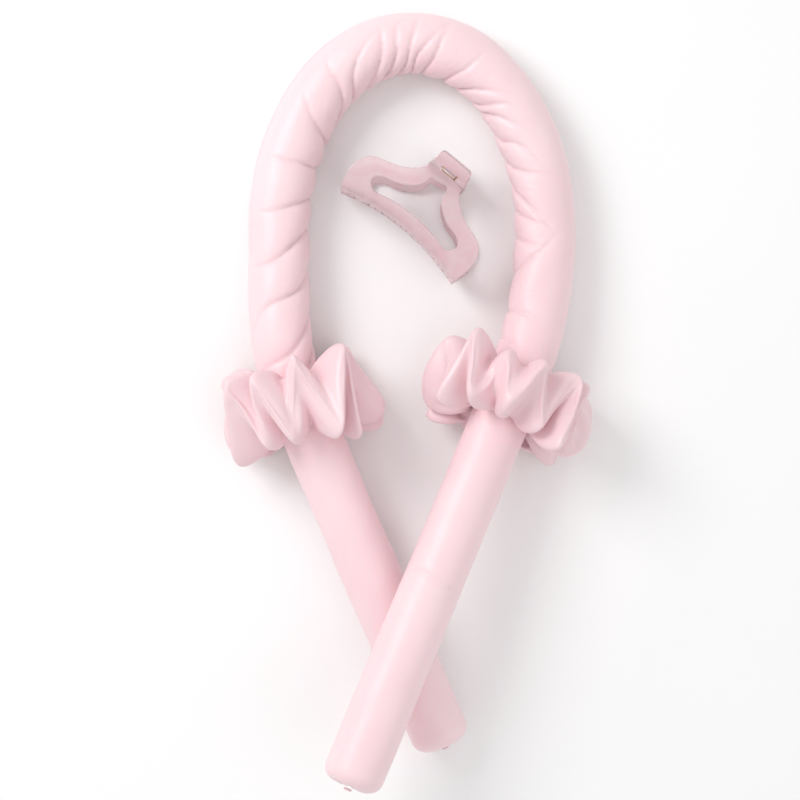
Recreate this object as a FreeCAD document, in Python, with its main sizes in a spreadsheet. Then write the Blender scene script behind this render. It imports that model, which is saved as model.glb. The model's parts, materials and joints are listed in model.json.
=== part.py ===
"""Heatless hair curling set: a satin-sleeved foam rod lying in a bow with its arms crossed,
two gathered satin hair bands round the arms, and a sprung claw clip lying inside the bow.

Millimetres, +Z up, the set lying on the plane Z = 0. The set is built round the centre of
the bow, and every sub-part is moved at the end so that the origin is under the middle of the set.
"""

import FreeCAD, Part
import math
import os

V = FreeCAD.Vector
UP = V(0, 0, 1)

doc = FreeCAD.newDocument("CurlingSet")
sheet = doc.addObject("Spreadsheet::Sheet", "Sizes")

SIZES = {
    # rod
    "rod_radius": 16.5,  # outside of the satin sleeve
    "sleeve_wall": 0.5,  # satin and its seam allowance
    "end_rounding": 9.0,  # how the gathered end turns over the foam
    "bow_half_width": 73.7,  # centreline
    "bow_height": 103.4,  # centreline, from the widest line up to the crown
    "left_flank": 68.9,  # from the widest line down to the turn of the left arm
    "right_flank": 42.6,
    "left_turn": 34.0,  # how far before and after its corner each turn runs
    "right_turn": 40.0,
    "left_lean": 23.1,  # degrees inward
    "right_lean": 22.9,
    "left_arm": 233.8,  # in plan, from the turn's corner to the tip
    "right_arm": 276.4,
    "left_lift": 5.5,  # how much the hair band lifts the left arm
    "right_lift": 1.5,
    "crossing_gap": 0.5,  # between the sleeves where the arms cross
    "flex_margin": 4.0,  # radius of the round flex joint beyond the rod's own
    "flex_gap": 0.3,
    "thread_radius": 0.6,  # drawn thread that closes each end of the sleeve
    "thread_loop": 1.6,
    "thread_gap": 0.05,
    # hair bands
    "band_outer": 45.0,  # outer radius of the ruffle
    "band_length": 34.0,  # along the rod
    "band_grip_gap": 0.5,  # between ruffle and sleeve
    "band_inner_rounding": 10.0,
    "band_outer_rounding": 14.0,
    "elastic_wall": 1.5,
    "elastic_width": 7.0,
    "elastic_depth": 1.5,  # satin between the elastic and the sleeve
    "left_band_along": 34.0,  # from the turn's corner, along the arm
    "right_band_along": 56.0,
    # claw clip
    "clip_x": -9.0,
    "clip_y": -4.9,
    "clip_turn": -39.6,  # degrees
    "jaw_half_length": 42.0,
    "jaw_depth": 19.5,  # from the middle plane to the outside of a jaw
    "jaw_wall": 3.0,
    "hinge_height": 43.5,
    "arch_rise": 6.3,
    "arch_radius": 124.0,
    "tooth_pitch": 8.4,
    "tooth_width": 3.6,
    "tooth_root": 7.5,  # depth where the teeth leave the bar
    "block_half_width": 11.5,
    "knuckle_radius": 3.1,
    "knuckle_length": 2.7,
    "knuckle_gap": 0.3,
    "spring_room": 5.4,  # half of the space between the inner knuckles
    "pin_radius": 0.9,
    "pin_gap": 0.05,
    "pin_head_radius": 1.7,
    "pin_head": 0.8,
    "spine_near": 3.7,  # depth of the plate that carries the knuckles
    "spine_wall": 2.4,
    "tab_rise": 6.5,
    "tab_spread": 7.0,
    "tab_half_width": 10.5,
    "tab_wall": 2.3,
    "tab_rounding": 3.0,
    "wire_radius": 0.4,
    "coil_gap": 0.5,  # between pin and coil
    "coil_pitch": 0.95,
    "coil_turns": 9.0,
    "leg_share": 0.8,  # of the thumb tab's length
    "leg_extra_lean": 10.0,  # degrees beyond the tab's lean, so that the legs press on the tabs
}
for row, (alias, value) in enumerate(SIZES.items(), start=1):
    sheet.set(f"A{row}", alias)
    sheet.set(f"B{row}", str(value))
    sheet.setAlias(f"B{row}", alias)
doc.recompute()


def size(alias):
    """The value of a cell of the sheet."""
    return float(sheet.get(alias))


# ---------------------------------------------------------------- document helpers


def bind(thing, **expressions):
    """Binds properties of a document object to cells of the sheet."""
    for name, expression in expressions.items():
        thing.setExpression(name, expression)
    return thing


def cylinder(name, radius, height, base=V(0, 0, 0), axis=UP):
    made = doc.addObject("Part::Cylinder", name)
    made.Placement = FreeCAD.Placement(base, FreeCAD.Rotation(UP, axis))
    return bind(made, Radius=radius, Height=height)


def box(name, length, width, height, corner):
    made = doc.addObject("Part::Box", name)
    made.Placement = FreeCAD.Placement(corner, FreeCAD.Rotation())
    return bind(made, Length=length, Width=width, Height=height)


def shaped(name, shape):
    made = doc.addObject("Part::Feature", name)
    made.Shape = shape
    return made


def cut(name, base, tool):
    made = doc.addObject("Part::Cut", name)
    made.Base, made.Tool = base, tool
    return made


def common(name, base, tool):
    made = doc.addObject("Part::Common", name)
    made.Base, made.Tool = base, tool
    return made


def fuse(name, pieces):
    made = doc.addObject("Part::MultiFuse", name)
    made.Shapes = pieces
    made.Refine = True
    return made


def sweep(name, spine, radius):
    """A round bar along a spine object's wire."""
    first = spine.Shape.OrderedEdges[0]
    start = first.valueAt(first.FirstParameter)
    end = first.valueAt(first.LastParameter)
    along = first.tangentAt(first.FirstParameter)
    if (start - spine.Shape.OrderedVertexes[0].Point).Length > 1e-6:
        start, along = end, first.tangentAt(first.LastParameter) * -1
    profile = doc.addObject("Part::Circle", name + "_profile")
    profile.Placement = FreeCAD.Placement(start, FreeCAD.Rotation(UP, along))
    bind(profile, Radius=radius)
    made = doc.addObject("Part::Sweep", name)
    made.Sections = [profile]
    made.Spine = (spine, [f"Edge{i + 1}" for i in range(len(spine.Shape.Edges))])
    made.Solid = True
    made.Frenet = False
    return made


def rounded_path(points, turns, share=0.45):
    """Straight runs joined by tangent arcs. A turn takes its own length of each run, or a share
    of the shorter one, and a turn of no length is a sharp corner."""
    edges = []
    last = points[0]
    for i in range(1, len(points) - 1):
        before, corner, after = points[i - 1], points[i], points[i + 1]
        back = (before - corner).normalize()
        on = (after - corner).normalize()
        runs = min((before - corner).Length, (after - corner).Length)
        reach = turns.get(i, share * runs)
        if not reach:
            edges.append(Part.LineSegment(last, corner).toShape())
            last = corner
            continue
        half = back.getAngle(on) / 2
        radius = reach * math.tan(half)
        middle_way = (back + on).normalize()
        centre = corner + middle_way * (reach / math.cos(half))
        start, end = corner + back * reach, corner + on * reach
        edges.append(Part.LineSegment(last, start).toShape())
        edges.append(Part.Arc(start, centre - middle_way * radius, end).toShape())
        last = end
    edges.append(Part.LineSegment(last, points[-1]).toShape())
    return Part.Wire(edges)


# ---------------------------------------------------------------- rod

ROD = size("rod_radius")
BOW_CORNERS = 8  # corners of the polygon that touches the half ellipse of the bow


def bow_corner(i):
    """Corner i of the polygon round the bow, counted from the right side over the crown."""
    step = math.pi / BOW_CORNERS
    angle = (i + 0.5) * step
    grow = 1 / math.cos(step / 2)
    x = size("bow_half_width") * math.cos(angle) * grow
    y = size("bow_height") * math.sin(angle) * grow
    return V(x, y, ROD)


def bow_touch(i):
    """Where the side between corners i - 1 and i touches the bow."""
    angle = i * math.pi / BOW_CORNERS
    x, y = math.cos(angle), math.sin(angle)
    return V(size("bow_half_width") * x, size("bow_height") * y, ROD)


def arm_line(side, rise):
    """Unit direction of an arm with this rise per unit of plan, side -1 left and 1 right."""
    lean = math.radians(size("left_lean" if side < 0 else "right_lean"))
    return V(-side * math.sin(lean), -math.cos(lean), rise).normalize()


left_corner = V(-size("bow_half_width"), -size("left_flank"), ROD + size("left_lift"))
left_way = arm_line(-1, -size("left_lift") / size("left_arm"))
right_corner = V(size("bow_half_width"), -size("right_flank"), ROD + size("right_lift"))
right_rise = 0.15
for _ in range(20):
    # the rise that lays the right arm on the left one
    right_way = arm_line(1, right_rise)
    normal = left_way.cross(right_way).normalize()
    if normal.z < 0:
        normal = normal * -1
    apart = (right_corner - left_corner).dot(normal)
    wanted = 2 * ROD + size("crossing_gap")
    right_rise += (wanted - apart) / size("right_arm")

left_tip = left_corner + left_way * (size("left_arm") / math.hypot(left_way.x, left_way.y))
right_tip = right_corner + right_way * (
    size("right_arm") / math.hypot(right_way.x, right_way.y)
)

MIDDLE = BOW_CORNERS // 2
crown = bow_touch(MIDDLE)
left_points = [bow_touch(MIDDLE - 1)]
left_points += [bow_corner(i) for i in range(MIDDLE - 1, BOW_CORNERS)]
left_points += [left_corner, left_tip]
right_points = [crown]
right_points += [bow_corner(i) for i in range(MIDDLE - 1, -1, -1)]
right_points += [right_corner, right_tip]
left_path = shaped(
    "left_path",
    rounded_path(left_points, {len(left_points) - 2: size("left_turn")}),
)
right_path = shaped(
    "right_path",
    rounded_path(right_points, {len(right_points) - 2: size("right_turn")}),
)

FLEX_TALL = "4 * Sizes.rod_radius"
flex_base = V(crown.x, crown.y, -ROD)
flex_disc = cylinder("flex_disc", "Sizes.rod_radius + Sizes.flex_margin", FLEX_TALL, flex_base)
flex_socket = cylinder(
    "flex_socket",
    "Sizes.rod_radius + Sizes.flex_margin + Sizes.flex_gap",
    FLEX_TALL,
    flex_base,
)
beyond_crown = box(
    "beyond_crown",
    "Sizes.bow_half_width",
    "Sizes.bow_half_width",
    FLEX_TALL,
    V(crown.x, crown.y - size("bow_half_width") / 2, -ROD),
)
past_disc = cut("past_disc", beyond_crown, flex_disc)


def tip_edge(shape, tip):
    """Number of the round edge at the arm's tip."""
    for number, edge in enumerate(shape.Edges, start=1):
        round_edge = isinstance(edge.Curve, Part.Circle)
        if round_edge and edge.isClosed() and (edge.Curve.Center - tip).Length < 1e-3:
            return number
    raise RuntimeError("the arm has no round edge at its tip")


def rounded_bar(name, path_object, tip, radius, rounding):
    """The bar along a path, with its tip's edge rounded."""
    bar = sweep(name + "_bar", path_object, radius)
    doc.recompute()
    made = doc.addObject("Part::Fillet", name)
    made.Base = bar
    made.Edges = [(tip_edge(bar.Shape, tip), rounding, rounding)]
    return made


def shortened(path_object, name, way, by):
    """The same path with its last run ended earlier."""
    edges = path_object.Shape.OrderedEdges
    last = edges[-1]
    start = edges[-2].valueAt(edges[-2].LastParameter)
    ends = [last.Vertexes[0].Point, last.Vertexes[-1].Point]
    start = min(ends, key=lambda p: (p - start).Length)
    end = max(ends, key=lambda p: (p - start).Length) - way * by
    return shaped(name, Part.Wire(edges[:-1] + [Part.LineSegment(start, end).toShape()])), end


def rod_half(side, path_object, way, tip, keep_tool):
    """The foam core and the satin sleeve of one half, cut at the flex joint in the crown."""
    wall = size("sleeve_wall")
    rounding = size("end_rounding")
    outer = rounded_bar(f"{side}_outer", path_object, tip, "Sizes.rod_radius", rounding)
    inner_path, inner_tip = shortened(path_object, f"{side}_inner_path", way, wall)
    inner = rounded_bar(
        f"{side}_inner",
        inner_path,
        inner_tip,
        "Sizes.rod_radius - Sizes.sleeve_wall",
        rounding - wall,
    )
    shell = cut(f"{side}_shell", outer, inner)
    sleeve = cut(f"{side}_sleeve", shell, keep_tool)
    core = cut(f"{side}_foam_core", inner, keep_tool)
    return sleeve, core


left_sleeve, left_core = rod_half("left", left_path, left_way, left_tip, past_disc)
right_sleeve, right_core = rod_half(
    "right", right_path, right_way, right_tip, flex_socket
)


def end_thread(name, tip, way):
    """The knotted loop of thread that closes the gathered end, outside the sleeve."""
    made = doc.addObject("Part::Torus", name)
    stand_off = size("thread_radius") + size("thread_gap")
    made.Placement = FreeCAD.Placement(tip + way * stand_off, FreeCAD.Rotation(UP, way))
    return bind(made, Radius1="Sizes.thread_loop", Radius2="Sizes.thread_radius")


left_thread = end_thread("left_end_thread", left_tip, left_way)
right_thread = end_thread("right_end_thread", right_tip, right_way)

# ---------------------------------------------------------------- hair bands


def band_section():
    """Half plane section of a ruffle: rounded corners, and a groove for the elastic."""
    bore = ROD + size("band_grip_gap")
    seat = bore + size("elastic_depth") + size("elastic_wall")
    outer = size("band_outer")
    half = size("band_length") / 2
    groove = size("elastic_width") / 2
    side = [(seat, 0), (seat, groove), (bore, groove), (bore, half), (outer, half)]
    loop = side + [(r, -z) for r, z in reversed(side)]
    points = [V(r, 0, z) for r, z in loop]
    inner_turn, outer_turn = size("band_inner_rounding"), size("band_outer_rounding")
    turns = {1: 0, 2: 0, 3: inner_turn, 4: outer_turn, 5: outer_turn, 6: inner_turn, 7: 0, 8: 0}
    return Part.Face(rounded_path(points, turns))


def turned(name, face):
    made = doc.addObject("Part::Revolution", name)
    made.Source = face
    made.Axis = UP
    made.Angle = 360
    made.Solid = True
    return made


def elastic_ring(name, base, way):
    """The flat elastic, as a ring round the arm."""
    inner = "Sizes.rod_radius + Sizes.band_grip_gap + Sizes.elastic_depth"
    outer = f"{inner} + Sizes.elastic_wall"
    tube = cylinder(name + "_outside", outer, "Sizes.elastic_width", base, way)
    hole = cylinder(name + "_inside", inner, "Sizes.elastic_width", base, way)
    return cut(name, tube, hole)


def hair_band(side, corner, way, along):
    """Ruffled cover and elastic of one hair band, in place round its arm."""
    # the section's own plane points up, so that the ring's seam lies away from the floor
    spin = FreeCAD.Rotation(UP, UP.cross(way), way, "ZXY")
    place = FreeCAD.Placement(corner + way * along, spin)
    ring = turned(f"{side}_ruffle_ring", shaped(f"{side}_ruffle_section", band_section()))
    ring.Placement = place
    elastic_base = place.Base - way * (size("elastic_width") / 2)
    elastic = elastic_ring(f"{side}_band_elastic", elastic_base, way)
    above_floor = box(
        f"{side}_above_floor",
        "4 * Sizes.band_outer",
        "4 * Sizes.band_outer",
        "4 * Sizes.band_outer",
        V(place.Base.x, place.Base.y, 0) - V(size("band_outer"), size("band_outer"), 0) * 2,
    )
    return common(f"{side}_band_cover", ring, above_floor), elastic


left_cover, left_elastic = hair_band("left", left_corner, left_way, size("left_band_along"))
right_cover, right_elastic = hair_band(
    "right", right_corner, right_way, size("right_band_along")
)

# ---------------------------------------------------------------- claw clip
# Built standing: X along the hinge, Y through the jaws, Z up to the hinge. The upper jaw of
# the lying clip is on the -Y side.

HINGE = size("hinge_height")
DEPTH = size("jaw_depth")

# The middle of the jaw's wall: shares of the jaw's depth, and of the hinge's height
WALL_LINE = [
    (0.27, 0.985),
    (0.53, 0.92),
    (0.80, 0.77),
    (0.922, 0.56),
    (0.87, 0.375),
    (0.67, 0.24),
    (0.33, 0.185),
    (-0.02, 0.19),
    (-0.26, 0.225),
]
# Right half of the jaw's outline seen from the front: shares of its half length and height
OUTLINE = [
    (0.274, 0.93),
    (0.39, 0.79),
    (0.66, 0.655),
    (0.90, 0.56),
    (1.0, 0.36),
    (0.975, 0.12),
    (0.90, -0.12),
]
# Right half of the window
WINDOW = [
    (0.0, 0.865),
    (0.125, 0.85),
    (0.15, 0.74),
    (0.25, 0.615),
    (0.46, 0.505),
    (0.63, 0.455),
    (0.70, 0.36),
    (0.62, 0.27),
    (0.46, 0.285),
    (0.23, 0.325),
    (0.0, 0.335),
]


def spline(points):
    curve = Part.BSplineCurve()
    curve.interpolate(points)
    return curve


def wall_face(side):
    """The curved wall's section in the plane X = 0, as thick as the jaw's wall."""
    line = spline([V(0, side * d * DEPTH, z * HINGE) for d, z in WALL_LINE])
    half = size("jaw_wall") / 2
    sides = []
    for way in (1, -1):
        points = []
        for d, z in WALL_LINE:
            at = V(0, side * d * DEPTH, z * HINGE)
            along = line.tangent(line.parameter(at))[0]
            points.append(at + along.cross(V(1, 0, 0)) * (way * half))
        sides.append(spline(points))
    near, far = (s.toShape() for s in sides)
    near_points = [sides[0].StartPoint, sides[0].EndPoint]
    far_points = [sides[1].StartPoint, sides[1].EndPoint]
    start = Part.LineSegment(near_points[0], far_points[0]).toShape()
    end = Part.LineSegment(near_points[1], far_points[1]).toShape()
    return Part.Face(Part.Wire(Part.__sortEdges__([near, end, far, start])))


lying_height = wall_face(1).optimalBoundingBox(False, False).YMax
clip_place = FreeCAD.Placement(
    V(size("clip_x"), size("clip_y"), lying_height),
    FreeCAD.Rotation(UP, size("clip_turn")) * FreeCAD.Rotation(V(1, 0, 0), -90),
)


def mirrored_points(half_points):
    """The right half's points followed by the left half's, back to the start."""
    long = size("jaw_half_length")
    right = [V(x * long, 0, z * HINGE) for x, z in half_points]
    left = [V(-p.x, 0, p.z) for p in reversed(right) if p.x > 1e-6]
    return right, left


def prism(name, face):
    """A face of the XZ plane, drawn out through both jaws."""
    made = doc.addObject("Part::Extrusion", name)
    made.Base = shaped(name + "_face", face)
    made.Dir = V(0, 1, 0)
    made.Solid = True
    made.Symmetric = True
    return bind(made, LengthFwd="4 * Sizes.jaw_depth")


def outline_face():
    right, left = mirrored_points(OUTLINE)
    top = HINGE * 1.3
    edges = [
        spline(right).toShape(),
        Part.LineSegment(right[-1], left[0]).toShape(),
        spline(left).toShape(),
        Part.LineSegment(left[-1], V(left[-1].x, 0, top)).toShape(),
        Part.LineSegment(V(left[-1].x, 0, top), V(right[0].x, 0, top)).toShape(),
        Part.LineSegment(V(right[0].x, 0, top), right[0]).toShape(),
    ]
    return Part.Face(Part.Wire(edges))


def window_face():
    right, left = mirrored_points(WINDOW)
    curve = Part.BSplineCurve()
    curve.interpolate(Points=right + left, PeriodicFlag=True)
    return Part.Face(Part.Wire([curve.toShape()]))


def teeth_gaps(name, side, centres):
    """Blocks that remove the wall between the teeth, from the root of the teeth inward."""
    half = size("tooth_width") / 2
    reach = size("jaw_half_length") * 1.2
    edges = [-reach] + [x for c in centres for x in (c - half, c + half)] + [reach]
    root = size("tooth_root")
    blocks = []
    for start, end in zip(edges[::2], edges[1::2]):
        low_y = -root if side < 0 else root - 2 * DEPTH
        blocks.append(Part.makeBox(end - start, 2 * DEPTH, HINGE / 2, V(start, low_y, -HINGE / 8)))
    return shaped(name, Part.Compound(blocks))


def knuckle(name, side, low, length):
    """A hinge barrel and the web that carries it."""
    barrel = cylinder(
        name + "_barrel", "Sizes.knuckle_radius", length, V(low, 0, HINGE), V(1, 0, 0)
    )
    deep = size("spine_near") + size("spine_wall") / 2
    web = box(
        name + "_web",
        length,
        "Sizes.spine_near + Sizes.spine_wall / 2",
        "1.6 * Sizes.knuckle_radius",
        V(low, 0 if side > 0 else -deep, HINGE - size("knuckle_radius") * 0.8),
    )
    return [barrel, web]


def tab_face(side):
    """Section of the thumb tab, leaning out from the top of the spine."""
    near = size("spine_near")
    wall = size("tab_wall")
    foot = V(0, near + size("spine_wall") / 2, HINGE + size("knuckle_radius") * 0.9)
    tip = foot + V(0, size("tab_spread"), size("tab_rise"))
    out = (tip - foot).normalize().cross(V(1, 0, 0)) * (wall / 2)
    corners = [foot + out, tip + out, tip - out, foot - out]
    corners = [V(0, side * p.y, p.z) for p in corners]
    return Part.Face(Part.makePolygon(corners + corners[:1]))


def tab(name, side):
    """The thumb tab, its outer corners rounded."""
    half = size("tab_half_width")
    plate = tab_face(side).extrude(V(2 * half, 0, 0))
    plate.translate(V(-half, 0, 0))
    tip_z = plate.BoundBox.ZMax
    ends = [
        e
        for e in plate.Edges
        if abs(e.Length - size("tab_wall")) < 1e-6 and e.BoundBox.ZMax > tip_z - size("tab_wall")
    ]
    return shaped(name, plate.makeFillet(size("tab_rounding"), ends))


def jaw(name, side, tooth_centres, knuckle_starts, bore_radius):
    """One jaw: arched wall, window, teeth, spine, thumb tab and hinge knuckles."""
    wall = doc.addObject("Part::Revolution", name + "_wall")
    wall.Source = shaped(name + "_wall_section", wall_face(side))
    wall.Axis = V(0, 1, 0)
    wall.Base = V(0, 0, size("arch_rise") - size("arch_radius"))
    wall.Angle = 60
    wall.Symmetric = True
    wall.Solid = True
    outline = prism(name + "_outline", outline_face())
    window = prism(name + "_window", window_face())
    framed = cut(name + "_framed", common(name + "_trimmed", wall, outline), window)
    toothed = cut(name + "_toothed", framed, teeth_gaps(name + "_gaps", side, tooth_centres))
    near, thick = size("spine_near"), size("spine_wall")
    spine = box(
        name + "_spine",
        "2 * Sizes.block_half_width",
        "Sizes.spine_wall",
        "2.8 * Sizes.knuckle_radius",
        V(
            -size("block_half_width"),
            near if side > 0 else -near - thick,
            HINGE - size("knuckle_radius") * 1.5,
        ),
    )
    view = box(
        name + "_spring_view",
        "2 * Sizes.spring_room",
        "Sizes.jaw_depth",
        "2.2 * Sizes.knuckle_radius",
        V(
            -size("spring_room"),
            0 if side > 0 else -DEPTH,
            HINGE - size("knuckle_radius") * 1.1,
        ),
    )
    barrels = []
    for number, start in enumerate(knuckle_starts):
        barrels += knuckle(f"{name}_knuckle{number}", side, start, "Sizes.knuckle_length")
    block = cut(name + "_block", fuse(name + "_plate", [spine, tab(name + "_tab", side)]), view)
    solid = fuse(name + "_solid", [toothed, block] + barrels)
    bore = cylinder(
        name + "_bore",
        bore_radius,
        "4 * Sizes.block_half_width",
        V(-2 * size("block_half_width"), 0, HINGE),
        V(1, 0, 0),
    )
    return cut(name, solid, bore)


PITCH = size("tooth_pitch")
upper_teeth = [PITCH * k for k in range(-4, 5)]
lower_teeth = [PITCH * (k + 0.5) for k in range(-5, 5)]
inner_start = size("spring_room")
outer_start = inner_start + size("knuckle_length") + size("knuckle_gap")
knuckle_run = size("knuckle_length")
upper_jaw = jaw(
    "upper_jaw",
    -1,
    upper_teeth,
    [-outer_start - knuckle_run, outer_start],
    "Sizes.pin_radius + Sizes.pin_gap",
)
lower_jaw = jaw(
    "lower_jaw",
    1,
    lower_teeth,
    [-inner_start - knuckle_run, inner_start],
    "Sizes.pin_radius",
)

pin_half = outer_start + knuckle_run + size("knuckle_gap")
pin_shaft = cylinder(
    "pin_shaft",
    "Sizes.pin_radius",
    "2 * (Sizes.spring_room + 2 * Sizes.knuckle_length + 2 * Sizes.knuckle_gap)",
    V(-pin_half, 0, HINGE),
    V(1, 0, 0),
)
pin_heads = [
    cylinder(f"pin_head{i}", "Sizes.pin_head_radius", "Sizes.pin_head", at, V(1, 0, 0))
    for i, at in enumerate(
        [V(-pin_half - size("pin_head"), 0, HINGE), V(pin_half, 0, HINGE)]
    )
]
hinge_pin = fuse("hinge_pin", [pin_shaft] + pin_heads)


def spring_shape():
    """Torsion spring: a coil round the pin, and a leg along the inside of each thumb tab."""
    wire = size("wire_radius")
    coil = size("pin_radius") + size("coil_gap") + wire
    pitch = size("coil_pitch")
    spread, rise = size("tab_spread"), size("tab_rise")
    lean = math.atan2(spread, rise) + math.radians(size("leg_extra_lean"))
    leg = size("leg_share") * math.hypot(spread, rise)
    winding = 2 * math.pi * size("coil_turns") - math.pi + 2 * lean
    climb = pitch / (2 * math.pi)

    def coil_end(angle):
        point = V(coil * math.cos(angle), coil * math.sin(angle), climb * angle)
        along = V(-coil * math.sin(angle), coil * math.cos(angle), climb).normalize()
        return point, along

    first, first_way = coil_end(0.0)
    last, last_way = coil_end(winding)
    helix = Part.makeHelix(pitch, climb * winding, coil)
    foot = first - first_way * leg
    legs = [Part.makeLine(foot, first), Part.makeLine(last, last + last_way * leg)]
    line = Part.Wire(legs[:1] + helix.Edges + legs[1:])
    section = Part.Wire([Part.makeCircle(wire, foot, first_way)])
    made = line.makePipeShell([section], True, False)
    made.translate(V(0, 0, -climb * winding / 2))
    made.rotate(V(0, 0, 0), UP, 270 - math.degrees(lean))
    return made


spring = shaped("clip_spring", spring_shape())
on_hinge = FreeCAD.Placement(V(0, 0, HINGE), FreeCAD.Rotation(V(0, 1, 0), 90))
spring.Placement = on_hinge * spring.Placement

# ---------------------------------------------------------------- check, place and write

doc.recompute()
clip_parts = [upper_jaw, lower_jaw, hinge_pin, spring]
for thing in clip_parts:
    thing.Placement = clip_place * thing.Placement
doc.recompute()

SUB_PARTS = {
    "left_sleeve": left_sleeve,
    "right_sleeve": right_sleeve,
    "left_foam_core": left_core,
    "right_foam_core": right_core,
    "left_end_thread": left_thread,
    "right_end_thread": right_thread,
    "left_band_cover": left_cover,
    "left_band_elastic": left_elastic,
    "right_band_cover": right_cover,
    "right_band_elastic": right_elastic,
    "clip_upper_jaw": upper_jaw,
    "clip_lower_jaw": lower_jaw,
    "clip_hinge_pin": hinge_pin,
    "clip_spring": spring,
}


def check():
    """Stops the build if any object failed or any sub-part isn't a sound solid."""
    for thing in doc.Objects:
        if {"Invalid", "Error"} & set(thing.State):
            raise RuntimeError(f"{thing.Name} failed: {thing.State}")
    for name, thing in SUB_PARTS.items():
        shape = thing.Shape
        if shape.isNull() or not shape.isValid() or not shape.Solids:
            raise RuntimeError(f"{name} isn't a sound solid")


check()
whole = FreeCAD.BoundBox()
for thing in SUB_PARTS.values():
    whole.add(thing.Shape.optimalBoundingBox(False, False))
to_origin = FreeCAD.Placement(
    V(-whole.Center.x, -whole.Center.y, -whole.ZMin), FreeCAD.Rotation()
)
os.makedirs("parts", exist_ok=True)
for name, thing in SUB_PARTS.items():
    thing.Label = name
    thing.Placement = to_origin * thing.Placement
doc.recompute()
check()
for name, thing in SUB_PARTS.items():
    shape = thing.Shape
    shape.exportStep(f"parts/{name}.step")
    print(name, len(shape.Solids), "solid,", round(shape.Volume), "mm3")
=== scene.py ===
import json
import math
import bpy
import numpy as np
from mathutils import Matrix, Vector


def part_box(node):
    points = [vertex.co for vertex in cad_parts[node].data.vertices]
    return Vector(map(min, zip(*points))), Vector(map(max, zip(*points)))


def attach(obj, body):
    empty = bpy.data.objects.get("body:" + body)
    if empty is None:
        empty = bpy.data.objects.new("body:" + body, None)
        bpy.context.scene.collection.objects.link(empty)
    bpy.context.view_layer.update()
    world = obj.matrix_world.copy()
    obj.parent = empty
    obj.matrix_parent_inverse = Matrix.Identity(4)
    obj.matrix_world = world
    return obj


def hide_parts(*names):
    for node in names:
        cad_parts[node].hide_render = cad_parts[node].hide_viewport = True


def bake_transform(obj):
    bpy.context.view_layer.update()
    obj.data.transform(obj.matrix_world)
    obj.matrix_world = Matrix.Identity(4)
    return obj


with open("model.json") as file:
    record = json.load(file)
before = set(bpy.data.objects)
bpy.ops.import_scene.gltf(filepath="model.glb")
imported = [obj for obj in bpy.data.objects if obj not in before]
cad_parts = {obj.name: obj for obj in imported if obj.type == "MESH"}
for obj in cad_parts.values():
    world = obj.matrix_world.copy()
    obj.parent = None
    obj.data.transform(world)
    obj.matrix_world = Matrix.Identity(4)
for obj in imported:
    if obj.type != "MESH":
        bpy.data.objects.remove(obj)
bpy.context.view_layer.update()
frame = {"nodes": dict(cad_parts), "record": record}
JOINTS = {j["name"]: j for j in frame["record"]["behaviour"]["joints"]}
MOUNTS = {m["name"]: m for m in frame["record"]["mounts"]}
MM = 0.001
UP = np.array([0.0, 0.0, 1.0])

# ---------------------------------------------------------------- sizes, in metres

ROD_R = MOUNTS["left_arm"]["dims"]["r_mm"] * MM
CORE_R = ROD_R - 2.6 * MM  # foam under the sleeve
SLEEVE_R = ROD_R - 0.35 * MM  # the sleeve where it lies smooth
BOW_HEIGHT = 103.4 * MM  # from the widest line up to the crown
LEFT_TURN = 34 * MM  # how far the turn into each arm reaches from its corner
RIGHT_TURN = 40 * MM
END_ROUND = 7.5 * MM  # of the rod's ends
THREAD_HOLE = 1.3 * MM  # radius left open in the gathered ends of the sleeve
STATION = 1.25 * MM  # between points along the rod
AROUND = 88  # points round the sleeve
FOAM_AROUND = 24
SLEEVE_ROUNDS = 24  # of letting the sleeve's cloth settle

CAMERA_HEIGHT = 1.05  # above the rod's middle
CAMERA_FIELD = 0.44  # what the picture spans there
CAMERA_AIM = (-2.6 * MM, -2.9 * MM)


# ---------------------------------------------------------------- small helpers


def unit(v):
    return v / np.linalg.norm(v, axis=-1, keepdims=True)


def smooth_step(x, a, b):
    t = np.clip((x - a) / (b - a), 0, 1)
    return t * t * (3 - 2 * t)


def new_object(name, mesh):
    made = bpy.data.objects.new(name, mesh)
    bpy.context.scene.collection.objects.link(made)
    return made


def mesh_from(name, points, faces):
    mesh = bpy.data.meshes.new(name)
    mesh.from_pydata(np.asarray(points, float).reshape(-1, 3).tolist(), [], faces)
    mesh.update()
    mesh.shade_smooth()
    return mesh


def grid_faces(rows, columns, closed_rows=False):
    """Quads of a grid whose columns go round."""
    faces = []
    for i in range(rows if closed_rows else rows - 1):
        k = (i + 1) % rows
        for j in range(columns):
            n = (j + 1) % columns
            faces.append((i * columns + j, i * columns + n, k * columns + n, k * columns + j))
    return faces


def evaluated_mesh(obj):
    graph = bpy.context.evaluated_depsgraph_get()
    return bpy.data.meshes.new_from_object(obj.evaluated_get(graph))


def apply_modifiers(obj):
    mesh = evaluated_mesh(obj)
    obj.modifiers.clear()
    obj.data = mesh
    return obj


def noise_1d(x, spacing, seed):
    """Smooth noise from -1 to 1 along x."""
    rng = np.random.default_rng(seed)
    values = rng.uniform(-1, 1, 4096)
    at = x / spacing
    i = np.floor(at).astype(int)
    f = at - i
    f = f * f * (3 - 2 * f)
    return values[i % 4096] * (1 - f) + values[(i + 1) % 4096] * f


# ---------------------------------------------------------------- materials


def node_material(name):
    made = bpy.data.materials.new(name)
    made.use_nodes = True
    nodes = made.node_tree.nodes
    shader = nodes["Principled BSDF"]
    return made, nodes, made.node_tree.links, shader


def ramp(nodes, links, source, stops):
    made = nodes.new("ShaderNodeValToRGB")
    links.new(source, made.inputs["Fac"])
    elements = made.color_ramp.elements
    while len(elements) < len(stops):
        elements.new(0.5)
    for element, (at, colour) in zip(elements, stops):
        element.position = at
        element.color = (*colour, 1)
    return made.outputs["Color"]


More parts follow.
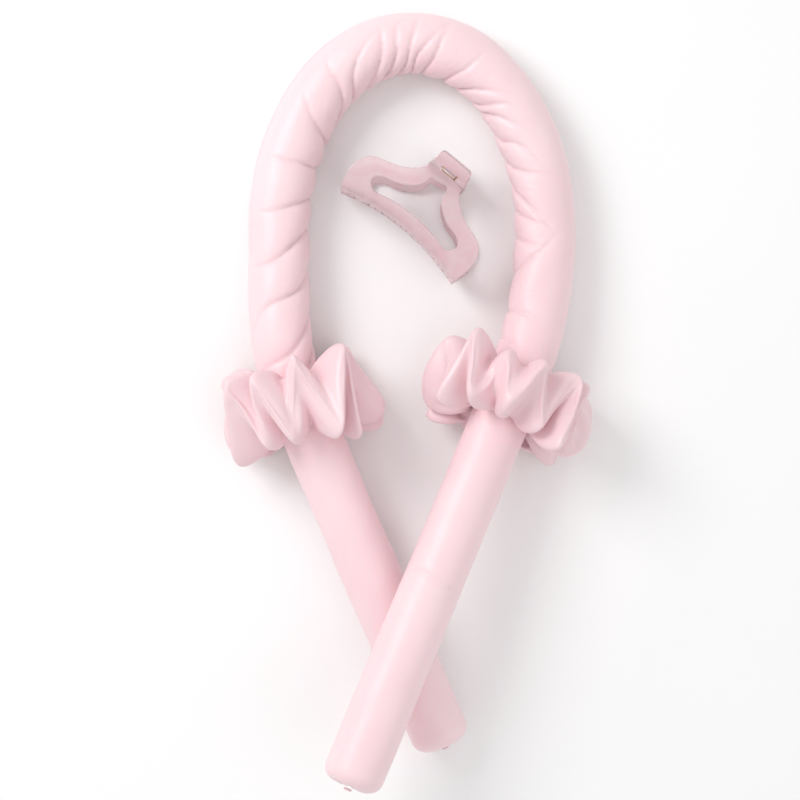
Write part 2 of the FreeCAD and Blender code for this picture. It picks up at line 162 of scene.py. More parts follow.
def satin(name, light, deep, roughness, sheen):
    """Satin: a soft gloss, a fine diagonal twill and slow changes of tone."""
    made, nodes, links, shader = node_material(name)
    where = nodes.new("ShaderNodeTexCoord").outputs["Object"]
    tone = nodes.new("ShaderNodeTexNoise")
    tone.inputs["Scale"].default_value = 22
    tone.inputs["Detail"].default_value = 3
    links.new(where, tone.inputs["Vector"])
    colour = ramp(nodes, links, tone.outputs["Fac"], [(0.3, deep), (0.7, light)])
    links.new(colour, shader.inputs["Base Color"])
    weave = nodes.new("ShaderNodeTexWave")
    weave.inputs["Scale"].default_value = 900
    weave.inputs["Distortion"].default_value = 1.5
    weave.inputs["Detail"].default_value = 1
    turned = nodes.new("ShaderNodeMapping")
    turned.inputs["Rotation"].default_value = (0.4, 0.5, 0.78)
    links.new(where, turned.inputs["Vector"])
    links.new(turned.outputs["Vector"], weave.inputs["Vector"])
    crumple = nodes.new("ShaderNodeTexNoise")
    crumple.inputs["Scale"].default_value = 160
    crumple.inputs["Detail"].default_value = 4
    links.new(where, crumple.inputs["Vector"])
    fine = nodes.new("ShaderNodeBump")
    fine.inputs["Strength"].default_value = 0.06
    fine.inputs["Distance"].default_value = 0.0001
    links.new(weave.outputs["Fac"], fine.inputs["Height"])
    coarse = nodes.new("ShaderNodeBump")
    coarse.inputs["Strength"].default_value = 0.18
    coarse.inputs["Distance"].default_value = 0.0006
    links.new(crumple.outputs["Fac"], coarse.inputs["Height"])
    links.new(fine.outputs["Normal"], coarse.inputs["Normal"])
    links.new(coarse.outputs["Normal"], shader.inputs["Normal"])
    gloss = nodes.new("ShaderNodeMapRange")
    gloss.inputs["To Min"].default_value = roughness - 0.05
    gloss.inputs["To Max"].default_value = roughness + 0.08
    links.new(crumple.outputs["Fac"], gloss.inputs["Value"])
    links.new(gloss.outputs["Result"], shader.inputs["Roughness"])
    shader.inputs["Specular IOR Level"].default_value = 0.45
    shader.inputs["Sheen Weight"].default_value = sheen
    shader.inputs["Sheen Roughness"].default_value = 0.4
    shader.inputs["Sheen Tint"].default_value = (1.0, 0.86, 0.88, 1)
    shader.inputs["Subsurface Weight"].default_value = 0.15
    shader.inputs["Subsurface Radius"].default_value = (0.004, 0.002, 0.0016)
    shader.inputs["Subsurface Scale"].default_value = 0.5
    return made


def clip_plastic():
    """Clear pink moulded plastic with a faint flow pattern."""
    made, nodes, links, shader = node_material("clear_pink_plastic")
    where = nodes.new("ShaderNodeTexCoord").outputs["Object"]
    flow = nodes.new("ShaderNodeTexNoise")
    flow.inputs["Scale"].default_value = 70
    flow.inputs["Detail"].default_value = 3
    flow.inputs["Distortion"].default_value = 0.8
    links.new(where, flow.inputs["Vector"])
    stops = [(0.3, (0.98, 0.76, 0.80)), (0.75, (0.995, 0.88, 0.90))]
    links.new(ramp(nodes, links, flow.outputs["Fac"], stops), shader.inputs["Base Color"])
    bump = nodes.new("ShaderNodeBump")
    bump.inputs["Strength"].default_value = 0.12
    bump.inputs["Distance"].default_value = 0.0005
    links.new(flow.outputs["Fac"], bump.inputs["Height"])
    links.new(bump.outputs["Normal"], shader.inputs["Normal"])
    rough = nodes.new("ShaderNodeMapRange")
    rough.inputs["To Min"].default_value = 0.08
    rough.inputs["To Max"].default_value = 0.22
    links.new(flow.outputs["Fac"], rough.inputs["Value"])
    links.new(rough.outputs["Result"], shader.inputs["Roughness"])
    shader.inputs["Transmission Weight"].default_value = 0.6
    shader.inputs["IOR"].default_value = 1.35
    shader.inputs["Coat Weight"].default_value = 0.3
    return made


def metal(name, light, dark, roughness):
    """Drawn wire: fine streaks along and slightly uneven gloss."""
    made, nodes, links, shader = node_material(name)
    where = nodes.new("ShaderNodeTexCoord").outputs["Object"]
    streak = nodes.new("ShaderNodeTexNoise")
    streak.inputs["Scale"].default_value = 1400
    streak.inputs["Detail"].default_value = 2
    links.new(where, streak.inputs["Vector"])
    stops = [(0.35, dark), (0.65, light)]
    links.new(ramp(nodes, links, streak.outputs["Fac"], stops), shader.inputs["Base Color"])
    rough = nodes.new("ShaderNodeMapRange")
    rough.inputs["To Min"].default_value = roughness - 0.05
    rough.inputs["To Max"].default_value = roughness + 0.1
    links.new(streak.outputs["Fac"], rough.inputs["Value"])
    links.new(rough.outputs["Result"], shader.inputs["Roughness"])
    shader.inputs["Metallic"].default_value = 1.0
    return made


def plain_fibre(name, light, dark, scale, roughness):
    """Matt material with a fine grain: foam, elastic or thread."""
    made, nodes, links, shader = node_material(name)
    where = nodes.new("ShaderNodeTexCoord").outputs["Object"]
    grain = nodes.new("ShaderNodeTexVoronoi")
    grain.inputs["Scale"].default_value = scale
    links.new(where, grain.inputs["Vector"])
    stops = [(0.1, dark), (0.6, light)]
    links.new(ramp(nodes, links, grain.outputs["Distance"], stops), shader.inputs["Base Color"])
    bump = nodes.new("ShaderNodeBump")
    bump.inputs["Strength"].default_value = 0.3
    bump.inputs["Distance"].default_value = 0.0003
    links.new(grain.outputs["Distance"], bump.inputs["Height"])
    links.new(bump.outputs["Normal"], shader.inputs["Normal"])
    shader.inputs["Roughness"].default_value = roughness
    return made


def paint(obj, material):
    obj.data.materials.clear()
    obj.data.materials.append(material)
    return obj


# ---------------------------------------------------------------- camera, light and floor


def make_camera():
    data = bpy.data.cameras.new("camera")
    data.lens = data.sensor_width * CAMERA_HEIGHT / CAMERA_FIELD
    made = new_object("camera", data)
    made.location = (*CAMERA_AIM, ROD_R + CAMERA_HEIGHT)
    bpy.context.scene.camera = made


def area_light(name, place, size, power, aim=(0, 0, 0)):
    data = bpy.data.lights.new(name, "AREA")
    data.shape = "RECTANGLE"
    data.size, data.size_y = size
    data.energy = power
    made = new_object(name, data)
    made.location = place
    made.rotation_euler = (Vector(aim) - Vector(place)).to_track_quat("-Z", "Y").to_euler()


def make_studio():
    world = bpy.data.worlds.new("studio")
    bpy.context.scene.world = world
    world.use_nodes = True
    back = world.node_tree.nodes["Background"]
    back.inputs["Color"].default_value = (1, 1, 1, 1)
    back.inputs["Strength"].default_value = 0.72
    area_light("key", (-0.75, 0.55, 0.9), (0.6, 0.6), 7.5)
    area_light("fill", (0.7, -0.4, 1.1), (1.0, 1.0), 2.0)
    bpy.context.scene.view_settings.view_transform = "Standard"
    side = 6.0
    corners = [(-side, -side, 0), (side, -side, 0), (side, side, 0), (-side, side, 0)]
    floor = new_object("floor", mesh_from("floor", corners, [(0, 1, 2, 3)]))
    made, nodes, links, shader = node_material("paper_floor")
    grain = nodes.new("ShaderNodeTexNoise")
    grain.inputs["Scale"].default_value = 60
    stops = [(0.3, (0.93, 0.93, 0.93)), (0.7, (0.95, 0.95, 0.95))]
    links.new(ramp(nodes, links, grain.outputs["Fac"], stops), shader.inputs["Base Color"])
    shader.inputs["Roughness"].default_value = 0.9
    shader.inputs["Specular IOR Level"].default_value = 0.1
    paint(floor, made)


# ---------------------------------------------------------------- the rod's path

CROWN = np.array(JOINTS["bow_flex"]["pos_m"])
RIGHT_WAY = np.array(MOUNTS["right_arm"]["axis"])
BOW_HALF_WIDTH = CROWN[0] - (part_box("left_sleeve")[0][0] + ROD_R)
WIDEST_Y = CROWN[1] - BOW_HEIGHT


def arm_point(mount, plan_x=None, tip_gap=None):
    """The point of an arm's axis at a plan x, or at a gap beyond the end of its straight wall."""
    at, way = np.array(mount["pos_m"]), np.array(mount["axis"])
    if plan_x is not None:
        return at + way * ((plan_x - at[0]) / way[0])
    return at + way * (mount["dims"]["length_mm"] * MM / 2 + tip_gap)


CAD_END_ROUND = 9 * MM  # from the end of an arm's straight wall to its tip
left_corner = arm_point(MOUNTS["left_arm"], plan_x=CROWN[0] - BOW_HALF_WIDTH)
right_corner = arm_point(MOUNTS["right_arm"], plan_x=CROWN[0] + BOW_HALF_WIDTH)
left_tip = arm_point(MOUNTS["left_arm"], tip_gap=CAD_END_ROUND)
right_tip = arm_point(MOUNTS["right_arm"], tip_gap=CAD_END_ROUND)


def turn(before, corner, after, reach):
    """A smooth turn that starts and ends this far from its corner."""
    a = corner + unit(before - corner) * reach
    b = corner + unit(after - corner) * reach
    t = np.linspace(0, 1, 40)[:, None]
    return (1 - t) ** 2 * a + 2 * t * (1 - t) * corner + t**2 * b


def blurred(values, spacing, reach):
    """Gaussian blur along the first axis that keeps the ends."""
    half = int(3 * reach / spacing)
    kernel = np.exp(-0.5 * (np.arange(-half, half + 1) * spacing / reach) ** 2)
    kernel /= kernel.sum()
    first = 2 * values[:1] - values[half:0:-1]
    last = 2 * values[-1:] - values[-2 : -half - 2 : -1]
    padded = np.concatenate([first, values, last])
    return np.stack([np.convolve(padded[:, k], kernel, "valid") for k in range(values.shape[1])], 1)


def resampled(points, spacing):
    run = np.concatenate([[0], np.cumsum(np.linalg.norm(np.diff(points, axis=0), axis=1))])
    count = int(round(run[-1] / spacing)) + 1
    at = np.linspace(0, run[-1], count)
    return np.stack([np.interp(at, run, points[:, k]) for k in range(3)], 1)


def rod_path():
    """Points along the rod's middle from the left tip over the crown to the right tip."""
    angle = np.linspace(math.pi, 0, 200)
    bow = np.stack(
        [
            CROWN[0] + BOW_HALF_WIDTH * np.cos(angle),
            WIDEST_Y + BOW_HEIGHT * np.sin(angle),
            np.full_like(angle, ROD_R),
        ],
        1,
    )
    left = turn(left_tip, left_corner, bow[0], LEFT_TURN)
    right = turn(bow[-1], right_corner, right_tip, RIGHT_TURN)
    line = np.concatenate([[left_tip], left, bow, right, [right_tip]])
    line = resampled(line, 0.5 * MM)
    line = blurred(line, 0.5 * MM, 5 * MM)
    return resampled(line, STATION)


class Rod:
    """The rod's middle line, with its frame at each station: inner points to the inside of the
    bow and over points up."""

    def __init__(self, points):
        self.points = points
        self.along = unit(np.gradient(points, axis=0))
        self.inner = unit(np.cross(self.along, UP))
        self.over = np.cross(self.inner, self.along)
        self.run = np.concatenate([[0], np.cumsum(np.linalg.norm(np.diff(points, axis=0), axis=1))])
        bend = np.gradient(self.along, axis=0) / np.gradient(self.run)[:, None]
        self.bend = (bend * self.inner).sum(1)

    def surface(self, angle, radius):
        """Points round each station: angle 0 is the inner side and 90 degrees the top."""
        round_it = (
            np.cos(angle)[..., None] * self.inner[:, None]
            + np.sin(angle)[..., None] * self.over[:, None]
        )
        return self.points[:, None] + round_it * radius[..., None]


# ---------------------------------------------------------------- folds of the sleeve
# The creases that the bend presses into the sleeve, as they lie on the inner side. For each: its
# place along the rod from the crown in mm (left negative), how far it leans along the rod per unit
# round it, the height of the puff after it in mm, and how far round from the inner side it runs in
# degrees.
CREASES = [
    (-216, -0.8, 0.8, 115),
    (-207, -0.9, 1.6, 145),
    (-188, -1.0, 3.0, 160),
    (-162, -1.0, 3.4, 160),
    (-139, -0.65, 3.0, 155),
    (-120, -0.35, 2.8, 135),
    (-101, -0.1, 3.3, 130),
    (-85, 0.6, 2.6, 125),
    (-68, 0.9, 2.6, 135),
    (-53, 0.95, 2.4, 135),
    (-37, 0.8, 2.6, 145),
    (-24, 0.7, 2.2, 135),
    (-12, 0.5, 1.9, 150),
    (-2, 0.4, 1.6, 155),
    (7, 0.35, 2.4, 145),
    (25, 0.45, 1.9, 125),
    (37, 0.85, 2.4, 115),
    (53, 0.9, 1.7, 110),
    (61, 0.8, 2.7, 110),
    (79, 0.9, 2.5, 110),
    (96, 0.7, 2.1, 110),
    (112, 0.85, 1.9, 125),
    (126, 0.5, 1.8, 100),
    (144, 0.3, 2.0, 90),
    (167, -0.7, 2.4, 125),
    (189, 0.1, 1.6, 110),
    (205, 0.3, 0.9, 105),
    (216, 0.2, 0.0, 90),
]
FOLD_START = -70  # degrees below the inner side where the creases begin
SEAM = (-165 * MM, -25 * MM, 152)  # from and to along the rod from the crown, degrees round it
CROSS_CREASE = 163 * MM  # from the right turn's corner: a tuck across the right arm
CROSS_LEAN = 0.12  # of the tuck, along the arm per unit round it


def crown_run(rod):
    return rod.run[np.argmax(rod.points[:, 1])]


def arm_station(reach):
    """The point of the right arm's axis this far from the corner of its turn."""
    return right_corner + RIGHT_WAY * reach


def folded_radius(rod, angle):
    """Radius of the sleeve: puffs between leaning creases on the inner side of the bow, and a
    nearly smooth outer side and arms."""
    along = rod.run[:, None] - crown_run(rod) + 0 * angle
    turned = (angle + math.pi) % (2 * math.pi) - math.pi
    wave = noise_1d(along + 0.6 * SLEEVE_R * turned, 11 * MM, 31)
    lines = []
    for place, lean, _, _ in CREASES:
        curl = 1 + 0.25 * np.sin(turned * 1.7 + place)
        lines.append(place * MM + lean * SLEEVE_R * turned * curl + 0.9 * MM * wave)
    rise = np.zeros_like(angle)
    for k in range(len(CREASES) - 1):
        _, _, height, reach = CREASES[k]
        _, _, _, next_reach = CREASES[k + 1]
        gap = np.maximum(lines[k + 1] - lines[k], 2 * MM)
        share = (along - lines[k]) / gap
        inside = (share >= 0) & (share < 1)
        share = np.clip(share, 0, 1)
        end = np.radians(reach * (1 - share) + next_reach * share)
        start = math.radians(FOLD_START)
        fade = smooth_step(turned, start, start + 0.9) * (1 - smooth_step(turned, end * 0.3, end))
        puff = 1.75 * share**0.55 * (1 - share) ** 0.75
        rise = np.where(inside, height * MM * fade * (puff - 0.45), rise)
    creased = np.zeros_like(angle)
    for (_, _, height, reach), line in zip(CREASES, lines):
        away = np.abs(along - line)
        end = math.radians(reach * 1.1)
        fade = smooth_step(turned, math.radians(FOLD_START), 0)
        fade = fade * (1 - smooth_step(turned, end * 0.5, end))
        creased -= 0.22 * (height + 1) * MM * fade * np.exp(-away / (0.9 * MM))
    inner_side = 0.5 + 0.5 * np.cos(turned - 0.3)
    bow = smooth_step(along, -222 * MM, -190 * MM) * (1 - smooth_step(along, 185 * MM, 222 * MM))
    soft = 0.22 * MM * noise_1d(along, 26 * MM, 12) + 0.18 * MM * noise_1d(
        along + 1.1 * SLEEVE_R * turned, 17 * MM, 13
    )
    seam_from, seam_to, seam_at = SEAM
    drawn = smooth_step(along, seam_from, seam_from + 20 * MM) * (
        1 - smooth_step(along, seam_to - 20 * MM, seam_to)
    )
    off_seam = (turned - math.radians(seam_at)) * SLEEVE_R + 0.5 * MM * noise_1d(along, 30 * MM, 8)
    lap = smooth_step(off_seam, -0.4 * MM, 0.4 * MM) - smooth_step(off_seam, 0.4 * MM, 5 * MM)
    soft += 0.7 * MM * drawn * lap
    tuck_at = np.argmin(np.linalg.norm(rod.points - arm_station(CROSS_CREASE), axis=1))
    off_tuck = along - along[tuck_at] - CROSS_LEAN * SLEEVE_R * (turned - math.pi / 2)
    tuck = np.exp(-np.abs(off_tuck) / (1.4 * MM))
    tuck = tuck + 0.5 * np.exp(-(((off_tuck - 7 * MM) / (5 * MM)) ** 2))
    soft -= 1.2 * MM * tuck * smooth_step(turned, 0.1, 0.9) * (1 - smooth_step(turned, 2.2, 2.9))
    radius = SLEEVE_R + 0.55 * MM * bow * inner_side + rise + creased + soft
    return np.maximum(radius, CORE_R + 0.1 * MM), bow * inner_side


class Cloth:
    """Position-based cloth on a grid that is closed round the rod."""

    def __init__(self, points, slack_along, slack_round):
        self.points = points
        rows, columns = points.shape[:2]
        self.next = (np.arange(columns) + 1) % columns
        self.links = []
        for start in (0, 1):
            low = np.arange(start, rows - 1, 2)
            self.add(low, low + 1, 0, slack_along, 1.0)
            self.add(low, low + 1, 1, (slack_along + slack_round) / 2, 0.6)
            self.add(low, low + 1, -1, (slack_along + slack_round) / 2, 0.6)
        self.round_rest = self.round_lengths() * (1 + slack_round)

    def add(self, low, high, shift, slack, stiff):
        columns = (np.arange(self.points.shape[1]) + shift) % self.points.shape[1]
        a, b = self.points[low], self.points[high][:, columns]
        rest = np.linalg.norm(b - a, axis=-1) * (1 + (slack[low] + slack[high]) / 2)
        self.links.append((low, high, columns, rest, stiff))

    def round_lengths(self):
        return np.linalg.norm(self.points[:, self.next] - self.points, axis=-1)

    def step(self):
        p = self.points
        for low, high, columns, rest, stiff in self.links:
            a, b = p[low], p[high][:, columns]
            gap = b - a
            size = np.linalg.norm(gap, axis=-1, keepdims=True) + 1e-12
            push = gap * (0.5 * stiff * (1 - rest[..., None] / size))
            p[low] = a + push
            target = p[high]
            target[:, columns] = b - push
            p[high] = target
        for start in (0, 1):
            near = np.arange(start, p.shape[1], 2)
            far = self.next[near]
            gap = p[:, far] - p[:, near]
            size = np.linalg.norm(gap, axis=-1, keepdims=True) + 1e-12
            push = gap * (0.5 * (1 - self.round_rest[:, near, None] / size))
            p[:, near] += push
            p[:, far] -= push


def kept_round_core(points, rod, limit):
    """Holds the cloth outside the foam and off the floor."""
    away = points - rod.points[:, None]
    inward = (away * rod.inner[:, None]).sum(-1)
    shift = (away * rod.along[:, None]).sum(-1) / (1 - rod.bend[:, None] * inward)
    middle = (
        rod.points[:, None]
        + rod.along[:, None] * shift[..., None]
        + rod.inner[:, None] * (0.5 * rod.bend[:, None] * shift**2)[..., None]
    )
    away = points - middle
    radius = np.linalg.norm(away, axis=-1)
    points = middle + away * (np.clip(radius, CORE_R, limit) / radius)[..., None]
    points[..., 2] = np.maximum(points[..., 2], 0.15 * MM)
    return points


def relaxed_sleeve(rod):
    """The sleeve's cloth, let go from its creased shape until it settles on the foam."""
    angle = np.broadcast_to(
        np.arange(AROUND) * 2 * math.pi / AROUND, (len(rod.points), AROUND)
    ).copy()
    radius, loose = folded_radius(rod, angle)
    cloth = Cloth(rod.surface(angle, radius), 0.002 + 0.035 * loose, 0.002 + 0.01 * loose)
    jitter = np.random.default_rng(5).normal(0, 0.05 * MM, angle.shape)
    cloth.points = rod.surface(angle, radius + jitter * loose)
    limit = ROD_R + 0.3 * MM + 2.6 * MM * loose
    for _ in range(SLEEVE_ROUNDS):
        cloth.step()
        cloth.points = kept_round_core(cloth.points, rod, limit)
    return cloth.points


def end_cap(points, rod, last):
    """Rings that turn the sleeve over the end of the foam and gather it on the thread."""
    i = -1 if last else 0
    outward = rod.along[i] * (1 if last else -1)
    rim = points[i]
    centre = rod.points[i]
    away = rim - centre
    away = away - (away @ outward)[:, None] * outward
    ray = unit(away)
    radius = np.linalg.norm(away, axis=1)
    angle = np.arange(len(rim)) * 2 * math.pi / len(rim)
    rng = np.random.default_rng(3 if last else 4)
    pleat = np.zeros_like(angle)
    for count, weight in ((9, 0.5), (13, 0.6), (17, 0.35)):
        pleat += weight * np.cos(count * angle + rng.uniform(0, 6.3))
    rings = []
    steps = 9
    for k in range(1, steps + 1):
        bend = k / steps * math.pi / 2
        reach = END_ROUND * math.sin(bend)
        shrink = END_ROUND * (1 - math.cos(bend))
        deep = (k / steps) ** 2 * 0.35 * MM
        ring = centre + outward * reach + ray * (radius - shrink)[:, None]
        rings.append(ring + outward * (pleat * deep)[:, None])
    flat_radius = radius - END_ROUND
    for k in range(1, 8):
        share = k / 7
        r = flat_radius * (1 - share) + THREAD_HOLE * share
        deep = (0.35 + 0.35 * math.sin(share * math.pi)) * MM * (1 - share**3)
        sink = -0.6 * MM * share**2
        ring = centre + outward * (END_ROUND + sink) + ray * r[:, None]
        rings.append(ring + outward * (pleat * deep)[:, None])
    return np.array(rings)


def trimmed_rod():
    """The path, stopped short of both tips by the rounding of the ends."""
    line = rod_path()
    run = np.concatenate([[0], np.cumsum(np.linalg.norm(np.diff(line, axis=0), axis=1))])
    keep = (run >= END_ROUND) & (run <= run[-1] - END_ROUND)
    return Rod(line[keep])


def on_arm(mount, plan):
    """The point of an arm's axis nearest a point in plan."""
    at, way = np.array(mount["pos_m"]), np.array(mount["axis"])
    flat = way[:2]
    return at + way * (((plan[:2] - at[:2]) @ flat) / (flat @ flat))


LEFT_BAND = on_arm(MOUNTS["left_arm"], np.array(MOUNTS["left_band_rest"]["pos_m"]))
RIGHT_BAND = on_arm(MOUNTS["right_arm"], np.array(MOUNTS["right_band_rest"]["pos_m"]))


def sleeve_pieces():
    """The sleeve in three lengths that meet under the hair bands: an arm, the bow and an arm."""
    rod = trimmed_rod()
    points = relaxed_sleeve(rod)
    left_cut = np.argmin(np.linalg.norm(rod.points - LEFT_BAND, axis=1))
    right_cut = np.argmin(np.linalg.norm(rod.points - RIGHT_BAND, axis=1))
    left_cap = end_cap(points, rod, last=False)[::-1]
    right_cap = end_cap(points, rod, last=True)
    return {
        "left_arm_sleeve": np.concatenate([left_cap, points[: left_cut + 1]]),
        "bow_sleeve": points[left_cut : right_cut + 1],
        "right_arm_sleeve": np.concatenate([points[right_cut:], right_cap]),
    }, rod


def sleeve_object(name, points, material):
    rows, columns = points.shape[:2]
    made = new_object(name, mesh_from(name, points, grid_faces(rows, columns)))
    made.data.flip_normals()
    return paint(made, material)


def make_rod():
    smooth_satin = satin("sleeve_satin", (0.93, 0.71, 0.74), (0.915, 0.665, 0.70), 0.40, 0.15)
    lengths, rod = sleeve_pieces()
    made = {name: sleeve_object(name, points, smooth_satin) for name, points in lengths.items()}
    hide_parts("left_sleeve")
    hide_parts("right_sleeve")
    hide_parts("left_sleeve", "right_sleeve")
    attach(made["left_arm_sleeve"], "left_rod")
    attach(made["right_arm_sleeve"], "right_rod")
    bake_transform(made["bow_sleeve"])
    foam = plain_fibre("foam", (0.95, 0.93, 0.92), (0.86, 0.83, 0.82), 900, 0.9)
    angle = np.arange(FOAM_AROUND) * 2 * math.pi / FOAM_AROUND
    angle = np.broadcast_to(angle, (len(rod.points), FOAM_AROUND))
    body = rod.surface(angle, np.full(angle.shape, CORE_R - 0.4 * MM))
    left_cut = np.argmin(np.linalg.norm(rod.points - LEFT_BAND, axis=1))
    right_cut = np.argmin(np.linalg.norm(rod.points - RIGHT_BAND, axis=1))
    stretches = {
        "left_arm_foam": body[: left_cut + 1],
        "bow_foam": body[left_cut : right_cut + 1],
        "right_arm_foam": body[right_cut:],
    }
    for name, points in stretches.items():
        rows = len(points)
        first_end = tuple(reversed(range(FOAM_AROUND)))
        last_end = tuple((rows - 1) * FOAM_AROUND + k for k in range(FOAM_AROUND))
        faces = grid_faces(rows, FOAM_AROUND) + [first_end, last_end]
        piece = new_object(name, mesh_from(name, points, faces))
        piece.data.flip_normals()
        paint(piece, foam)
        if name == "bow_foam":
            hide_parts("left_foam_core", "right_foam_core")
            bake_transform(piece)
        else:
            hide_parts(name.replace("_arm_foam", "_foam_core"))
            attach(piece, name.replace("_arm_foam", "_rod"))
    thread = plain_fibre("thread", (0.86, 0.62, 0.64), (0.70, 0.45, 0.48), 2500, 0.8)
    for node in ("left_end_thread", "right_end_thread"):
        paint(frame["nodes"][node], thread)
    return rod


# ---------------------------------------------------------------- hair bands

BAND_FABRIC = (380 * MM, 90 * MM)  # the flat strip that the casing is cut to
BAND_RING = 17.7 * MM  # where the elastic holds the casing, from the rod's middle
BAND_SIM_SCALE = 10.0
BAND_MOMENTS = 32  # frames that the simulation runs
BAND_AROUND = 132  # points round the rod
BAND_SECTION = 26  # points round the casing


def band_ring(major, radial, axial, waves=0, sway=0.0, rng=None):
    """A flattened tube bent into a ring round Z, its outer rim swaying along Z."""
    u = (np.arange(BAND_AROUND) * 2 * math.pi / BAND_AROUND)[:, None]
    v = (np.arange(BAND_SECTION) * 2 * math.pi / BAND_SECTION)[None]
    swing = 0 * u
    grow = 1 + 0 * u
    if waves:
        first, second, third, fourth = rng.uniform(0, 2 * math.pi, 4)
        swing = np.sin(waves * u + 1.1 * np.sin(2 * u + third) + first)
        swing = sway * (swing + 0.35 * np.sin((waves + 4) * u + second))
        grow = 1 + 0.10 * np.sin((waves - 4) * u + fourth)
    out = -np.cos(v)
    inner = major - radial
    r = inner + radial * (1 + out) * grow
    z = axial * np.sin(v) + swing * ((1 + out) / 2) ** 1.5
    return np.stack([r * np.cos(u), r * np.sin(u), z + 0 * r], -1)


def band_axes(rod, station, tilt):
    """Rows: two directions across the rod and one along it, the ring turned by tilt in plan."""
    along = -rod.along[station] if rod.points[station, 0] < CROWN[0] else rod.along[station]
    turned = Matrix.Rotation(math.radians(tilt), 3, "Z")
    along = np.array(turned @ Vector(along))
    across = unit(np.cross(UP, along))
    return np.stack([across, np.cross(along, across), along])


def simulated(pieces, colliders):
    """Runs the cloth simulation of the bands together, at BAND_SIM_SCALE times their size. Each
    starts gathered round its rod, and its rest shape is the ring sewn from the flat strip."""
    scale = BAND_SIM_SCALE
    made = []
    for name, start, cut in pieces:
        faces = grid_faces(BAND_AROUND, BAND_SECTION, closed_rows=True)
        obj = new_object(name, mesh_from(name, start * scale, faces))
        obj.shape_key_add(name="Basis")
        rest = obj.shape_key_add(name="cut")
        rest.data.foreach_set("co", (cut * scale).astype(np.float32).ravel())
        held = [
            i * BAND_SECTION + j for i in range(BAND_AROUND) for j in (0, 1, BAND_SECTION - 1)
        ]
        obj.vertex_groups.new(name="elastic").add(held, 1.0, "REPLACE")
        cloth = obj.modifiers.new("cloth", "CLOTH")
        fabric = cloth.settings
        fabric.quality = 6
        fabric.mass = 0.15
        fabric.tension_stiffness = fabric.compression_stiffness = 12
        fabric.shear_stiffness = 4
        fabric.bending_stiffness = 0.2
        fabric.tension_damping = fabric.compression_damping = 8
        fabric.shear_damping = 8
        fabric.air_damping = 3
        fabric.vertex_group_mass = "elastic"
        fabric.rest_shape_key = rest
        fabric.use_pressure = True
        fabric.uniform_pressure_force = 0.6
        fabric.effector_weights.gravity = 0.15
        touch = cloth.collision_settings
        touch.collision_quality = 2
        touch.distance_min = 0.006
        touch.use_self_collision = True
        touch.self_distance_min = 0.008
        made.append(obj)
    for obj in colliders:
        obj.modifiers.new("collision", "COLLISION")
        obj.collision.thickness_outer = 0.005
    for moment in range(1, BAND_MOMENTS + 1):
        bpy.context.scene.frame_set(moment)
    results = []
    for obj in made:
        mesh = evaluated_mesh(obj)
        places = np.empty(len(mesh.vertices) * 3, np.float32)
        mesh.vertices.foreach_get("co", places)
        results.append(places.reshape(-1, 3).astype(float) / scale)
        bpy.data.meshes.remove(mesh)
    for obj in made + colliders:
        bpy.data.objects.remove(obj, do_unlink=True)
    bpy.context.scene.frame_set(1)
    return results


def band_colliders(rod, stations):
    """The rod under each band, and the floor."""
    made = []
    for station in stations:
        angle = np.broadcast_to(np.arange(32) * math.pi / 16, (len(rod.points), 32))
        tube = rod.surface(angle, np.full(angle.shape, ROD_R + 0.2 * MM))
        tube = tube[station - 48 : station + 49 : 8] * BAND_SIM_SCALE
        stand_in = mesh_from("arm_stand_in", tube, grid_faces(len(tube), 32))
        stand_in.flip_normals()  # outwards, which is the side that the cloth is kept on
        made.append(new_object("arm_stand_in", stand_in))
    wide = 3.0
    corners = [(-wide, -wide, 0), (wide, -wide, 0), (wide, wide, 0), (-wide, wide, 0)]
    made.append(new_object("floor_stand_in", mesh_from("floor_stand_in", corners, [(0, 1, 2, 3)])))
    return made


# side, how far towards the bow from the CAD band's middle, tilt of the ring in plan in degrees,
# seed, number of ruffles, and half the depth and half the width of the casing before it settles
BANDS = [
    ("left", LEFT_BAND, 6 * MM, -6, 11, 12, 15.4 * MM, 15 * MM),
    ("right", RIGHT_BAND, 0, 0, 29, 12, 16.8 * MM, 13 * MM),
]


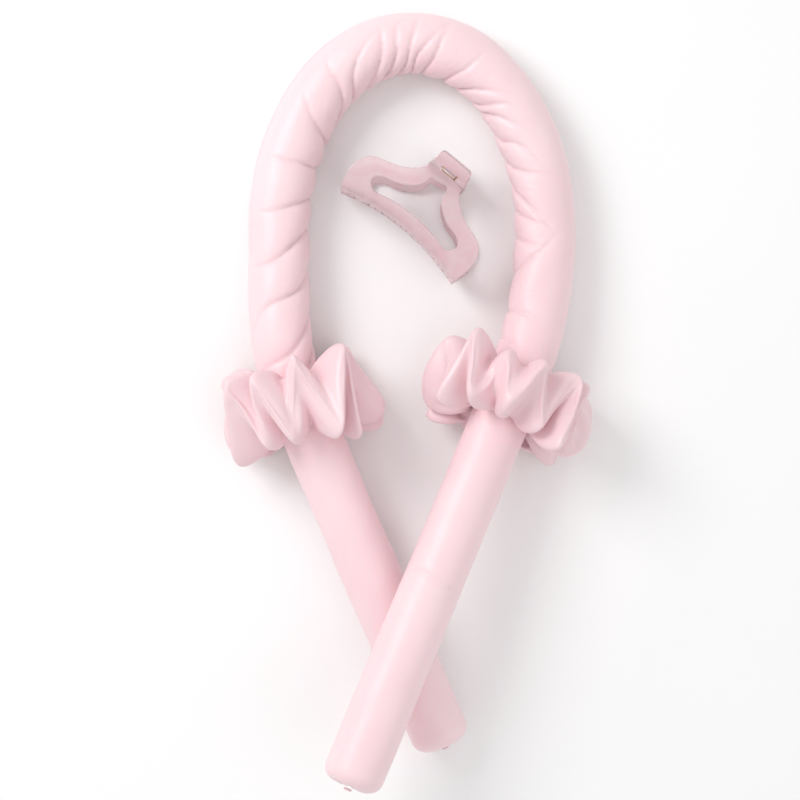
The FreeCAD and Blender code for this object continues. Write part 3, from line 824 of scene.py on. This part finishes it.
def make_bands(rod):
    glossy = satin("band_satin", (0.93, 0.68, 0.71), (0.91, 0.63, 0.665), 0.33, 0.12)
    pieces, stations = [], []
    for side, rest, shift, tilt, seed, waves, depth, width in BANDS:
        station = int(np.argmin(np.linalg.norm(rod.points - rest, axis=1)))
        station += int(shift / STATION) * (1 if side == "left" else -1)
        axes = band_axes(rod, station, tilt)
        middle = rod.points[station]
        rng = np.random.default_rng(seed)
        start = band_ring(BAND_RING + depth, depth, width, waves, width, rng)
        half = BAND_FABRIC[1] / (2 * math.pi)
        cut = band_ring(BAND_FABRIC[0] / (2 * math.pi), half, half)
        pieces.append((side + "_casing", start @ axes + middle, cut @ axes + middle))
        stations.append(station)
    results = simulated(pieces, band_colliders(rod, stations))
    for (side, *_), places in zip(BANDS, results):
        faces = grid_faces(BAND_AROUND, BAND_SECTION, closed_rows=True)
        made = new_object(side + "_band_ruffle", mesh_from(side + "_band_ruffle", places, faces))
        made.data.flip_normals()
        wall = made.modifiers.new("wall", "SOLIDIFY")
        wall.thickness = 0.35 * MM
        wall.offset = -1
        detail = made.modifiers.new("detail", "SUBSURF")
        detail.levels = detail.render_levels = 2
        apply_modifiers(made)
        made.data.shade_smooth()
        paint(made, glossy)
        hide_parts(side + "_band_cover")
        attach(made, side + "_band")
        braid = plain_fibre(side + "_braid", (0.95, 0.93, 0.92), (0.8, 0.77, 0.76), 1800, 0.8)
        paint(frame["nodes"][side + "_band_elastic"], braid)


# ---------------------------------------------------------------- claw clip


def moulded(node, body, material):
    """A moulded copy of a jaw with softly rounded edges."""
    source = frame["nodes"][node]
    made = new_object(node + "_moulded", source.data.copy())
    made.matrix_world = source.matrix_world.copy()
    remesh = made.modifiers.new("remesh", "REMESH")
    remesh.mode = "VOXEL"
    remesh.voxel_size = 0.3 * MM
    soft = made.modifiers.new("soft", "SMOOTH")
    soft.factor = 0.6
    soft.iterations = 6
    apply_modifiers(made)
    made.data.shade_smooth()
    paint(made, material)
    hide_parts(node)
    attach(made, body)
    return made


def make_clip():
    clear = clip_plastic()
    moulded("clip_upper_jaw", "clip_upper", clear)
    moulded("clip_lower_jaw", "clip_lower", clear)
    steel = metal("pin_steel", (0.80, 0.74, 0.68), (0.5, 0.45, 0.4), 0.25)
    paint(frame["nodes"]["clip_hinge_pin"], steel)
    source = frame["nodes"]["clip_spring"]
    spring = new_object("spring_coil", source.data.copy())
    spring.data.shade_smooth()
    paint(spring, metal("gold_wire", (0.83, 0.60, 0.38), (0.55, 0.36, 0.2), 0.22))
    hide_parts("clip_spring")
    joint = JOINTS["clip_jaw_open"]
    at, axis = np.array(joint["pos_m"]), np.array(joint["axis"])
    half = 4.0 * MM
    low, high = at - axis * half, at + axis * half
    legs = np.array([v.co for v in spring.data.vertices])
    up_leg = legs[np.argmax(legs[:, 2])]
    if (up_leg - at) @ axis < 0:
        low, high = high, low
    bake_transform(spring)


make_camera()
make_studio()
middle_line = make_rod()
make_bands(middle_line)
make_clip()
